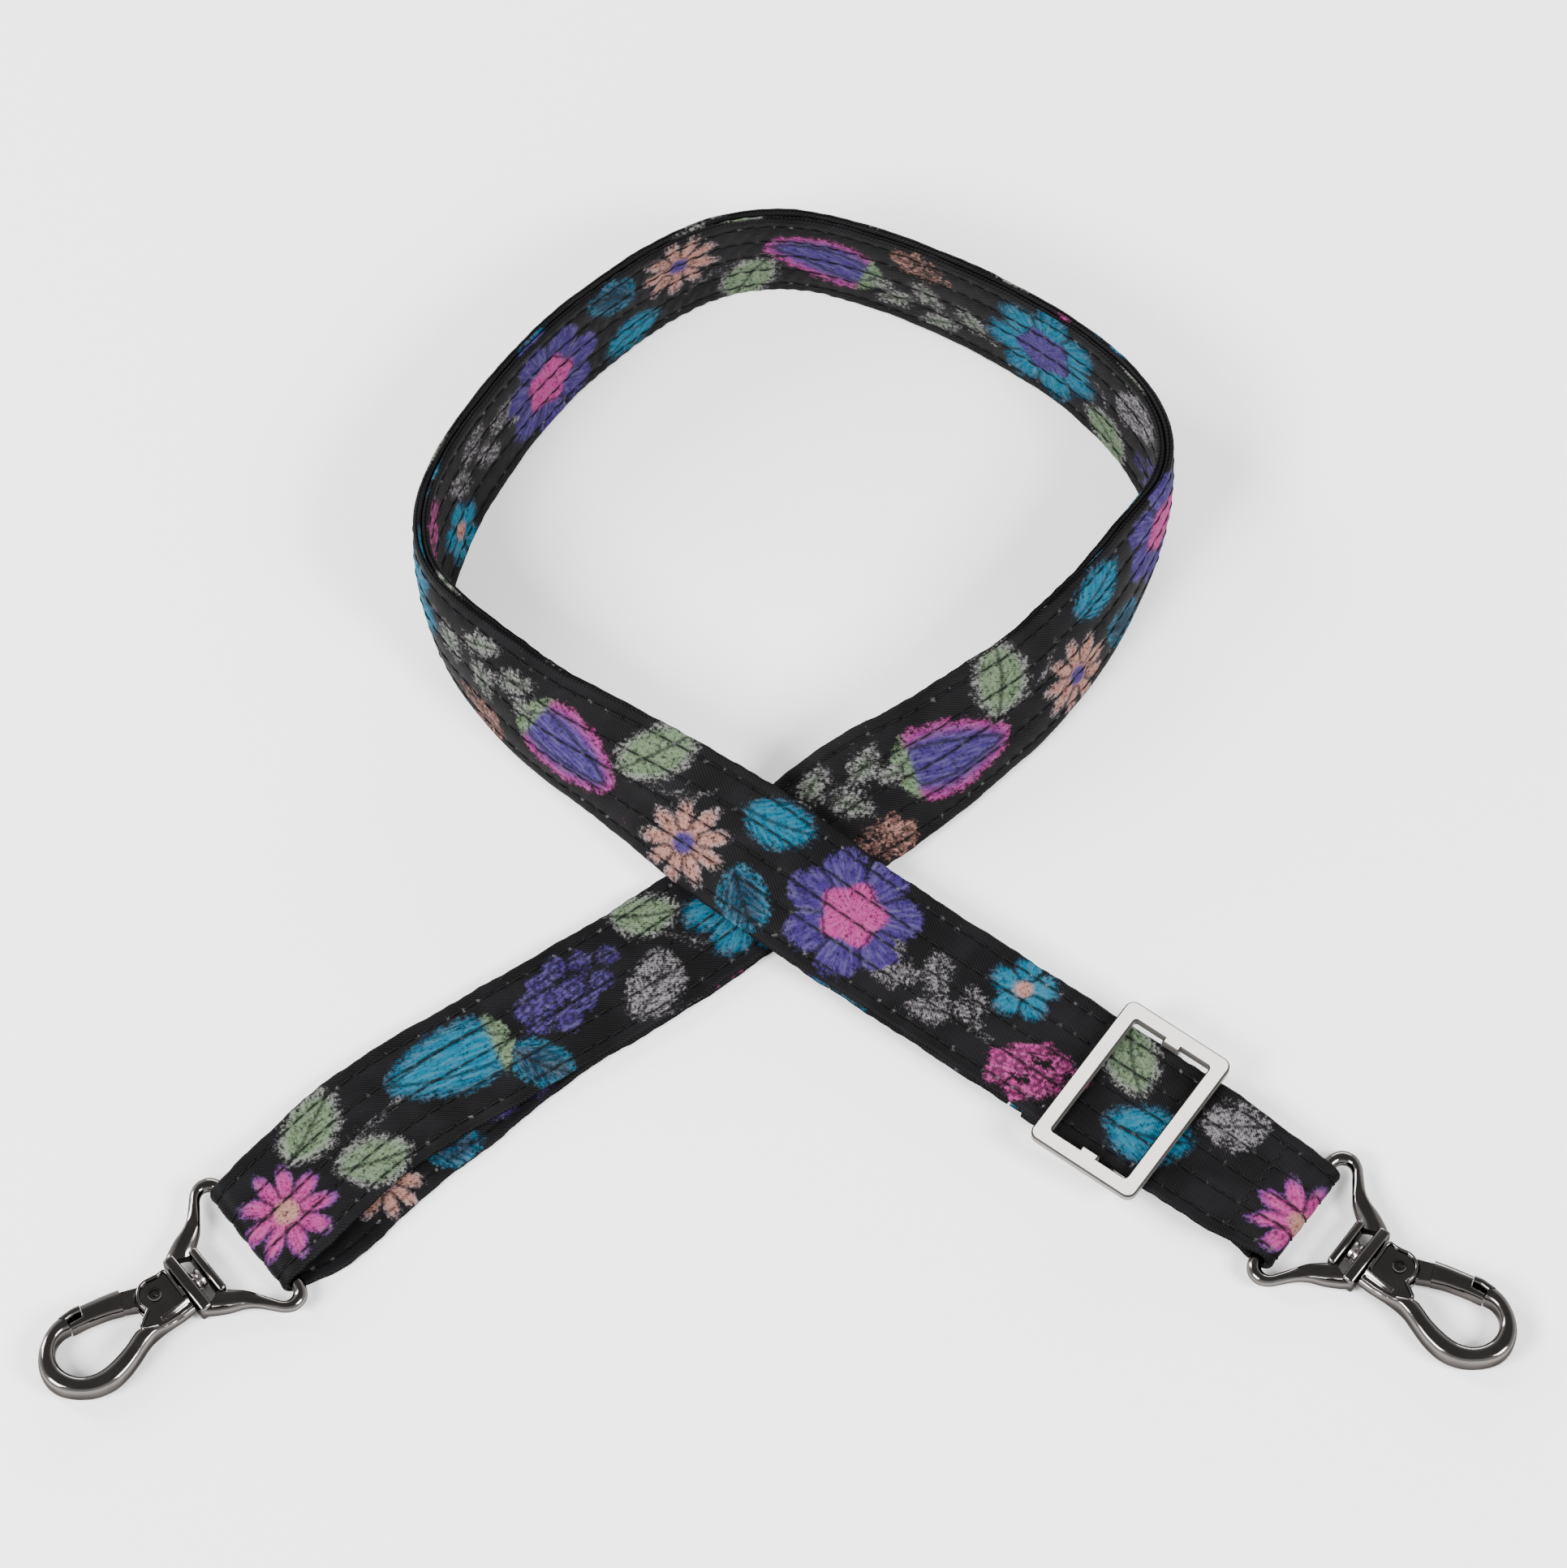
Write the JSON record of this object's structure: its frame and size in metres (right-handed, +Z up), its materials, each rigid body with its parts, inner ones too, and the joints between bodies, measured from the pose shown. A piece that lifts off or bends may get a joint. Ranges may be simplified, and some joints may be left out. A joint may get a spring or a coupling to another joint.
{
  "type": "detachable bag strap",
  "caption": "Adjustable quilted crossbody bag strap with a slider and a swivel trigger clip at each end, lying in an open loop.",
  "frame": {"origin": "middle of the bounding box's base, on the table", "axes": "+X from the left clip to the right clip, +Y towards the top of the loop, +Z up from the table"},
  "size_m": [0.2654, 0.2326, 0.0256],
  "materials": {
    "quilted_cloth": "satin twill with a print",
    "thread": "matt",
    "gunmetal": "polished gunmetal plating",
    "light_nickel": "polished light nickel plating",
    "spring_steel": "plain"
  },
  "bodies": {
    "strap": {"strap_outer_run": "quilted_cloth", "strap_inner_run": "quilted_cloth", "strap_feed_run": "quilted_cloth", "right_tab_seam_upper": "thread", "right_tab_seam_lower": "thread"},
    "slider": {"slider_frame": "light_nickel", "strap_end_loop": "quilted_cloth", "slider_loop_seam": "thread"},
    "left_ring": {"left_swivel_ring": "gunmetal"},
    "left_hook": {"left_swivel_rivet": "gunmetal", "left_swivel_washer": "gunmetal", "left_hook_body": "gunmetal", "left_gate_pin": "gunmetal", "left_gate_spring": "spring_steel"},
    "left_gate": {"left_gate": "gunmetal"},
    "right_ring": {"right_swivel_ring": "gunmetal"},
    "right_hook": {"right_swivel_rivet": "gunmetal", "right_swivel_washer": "gunmetal", "right_hook_body": "gunmetal", "right_gate_pin": "gunmetal", "right_gate_spring": "spring_steel"},
    "right_gate": {"right_gate": "gunmetal"}
  },
  "joints": [
    {"name": "slider_slide", "type": "slide", "parent": "strap", "child": "slider", "axis": [0.8133, -0.5818, 0], "range_m": [-0.038, 0.008], "deforming": ["strap_feed_run"]},
    {"name": "left_ring_tilt", "type": "hinge", "parent": "strap", "child": "left_ring", "pos_m": [-0.09372, -0.0852, 0.00309], "axis": [-0.6118, 0.791, 0], "range_deg": [-110, 110]},
    {"name": "left_swivel", "type": "hinge", "parent": "left_ring", "child": "left_hook", "pos_m": [-0.10757, -0.09591, 0.00309], "axis": [-0.791, -0.6118, 0], "continuous": true},
    {"name": "left_gate_hinge", "type": "hinge", "parent": "left_hook", "child": "left_gate", "pos_m": [-0.11217, -0.09733, 0.00309], "axis": [0, 0, -1], "range_deg": [-20, 0], "stiffness_Nm_per_rad": 0.02, "deforming": ["left_gate_spring"]},
    {"name": "right_ring_tilt", "type": "hinge", "parent": "strap", "child": "right_ring", "pos_m": [0.09324, -0.08006, 0.00309], "axis": [0.5955, 0.8034, 0], "range_deg": [-110, 110]},
    {"name": "right_swivel", "type": "hinge", "parent": "right_ring", "child": "right_hook", "pos_m": [0.1073, -0.09048, 0.00309], "axis": [0.8034, -0.5955, 0], "continuous": true},
    {"name": "right_gate_hinge", "type": "hinge", "parent": "right_hook", "child": "right_gate", "pos_m": [0.11193, -0.09181, 0.00309], "axis": [0, 0, 1], "range_deg": [-20, 0], "stiffness_Nm_per_rad": 0.02, "deforming": ["right_gate_spring"]}
  ]
}
